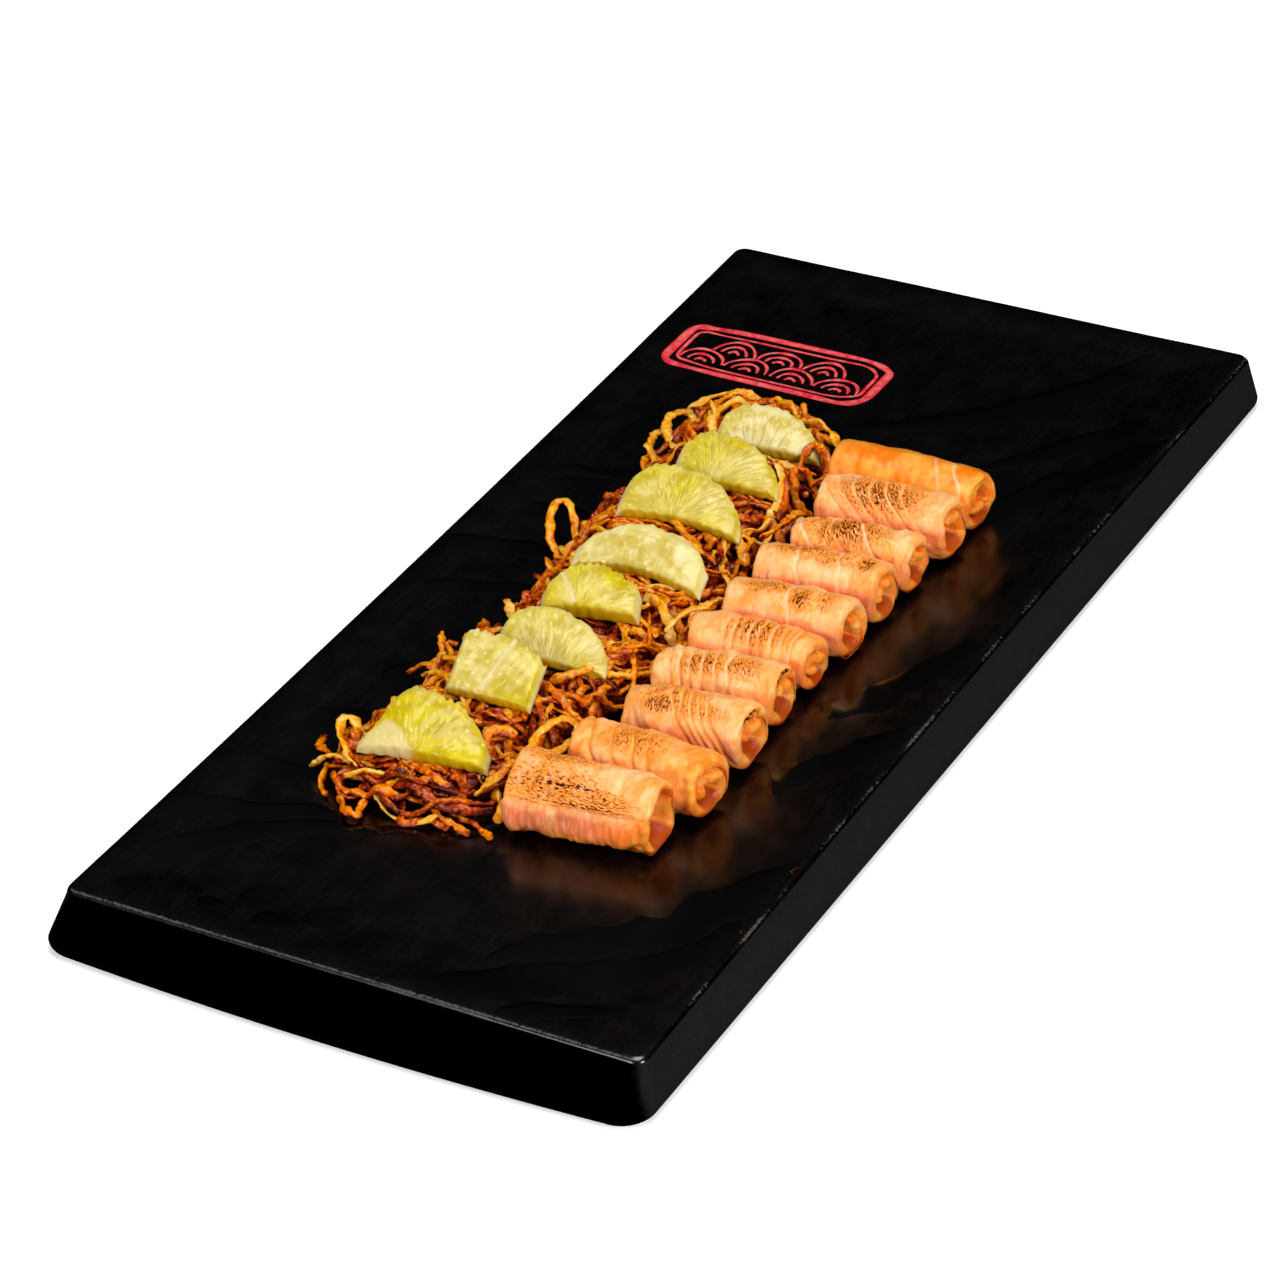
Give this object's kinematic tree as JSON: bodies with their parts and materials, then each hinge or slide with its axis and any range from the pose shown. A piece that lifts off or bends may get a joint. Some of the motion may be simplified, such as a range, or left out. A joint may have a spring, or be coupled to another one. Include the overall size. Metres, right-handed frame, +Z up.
{
  "type": "seared salmon platter",
  "caption": "Long dark stoneware slab with a row of rolled seared salmon slices beside a bed of crisp fried onion strips, with peeled lime pieces leaning on the bed.",
  "frame": {"origin": "middle of the slab's flat base, on the surface it stands on", "axes": "+Y along the slab towards the end with the painted mark, +X across it from the onion bed towards the salmon, +Z up"},
  "size_m": [0.19, 0.403, 0.0394],
  "materials": {
    "stoneware": "satin black glaze on stoneware",
    "salmon": "moist seared fish",
    "fried_onion": "crisp fried onion with a thin film of oil",
    "lime": "wet citrus flesh"
  },
  "bodies": {
    "root": {"platter": "stoneware", "fried_onion_bed": "fried_onion", "salmon_roll_01": "salmon", "salmon_roll_02": "salmon", "salmon_roll_03": "salmon", "salmon_roll_04": "salmon", "salmon_roll_05": "salmon", "salmon_roll_06": "salmon", "salmon_roll_07": "salmon", "salmon_roll_08": "salmon", "salmon_roll_09": "salmon", "salmon_roll_10": "salmon", "lime_piece_01": "lime", "lime_piece_02": "lime", "lime_piece_03": "lime", "lime_piece_04": "lime", "lime_piece_05": "lime", "lime_piece_06": "lime", "lime_piece_07": "lime", "lime_piece_08": "lime"}
  },
  "joints": []
}
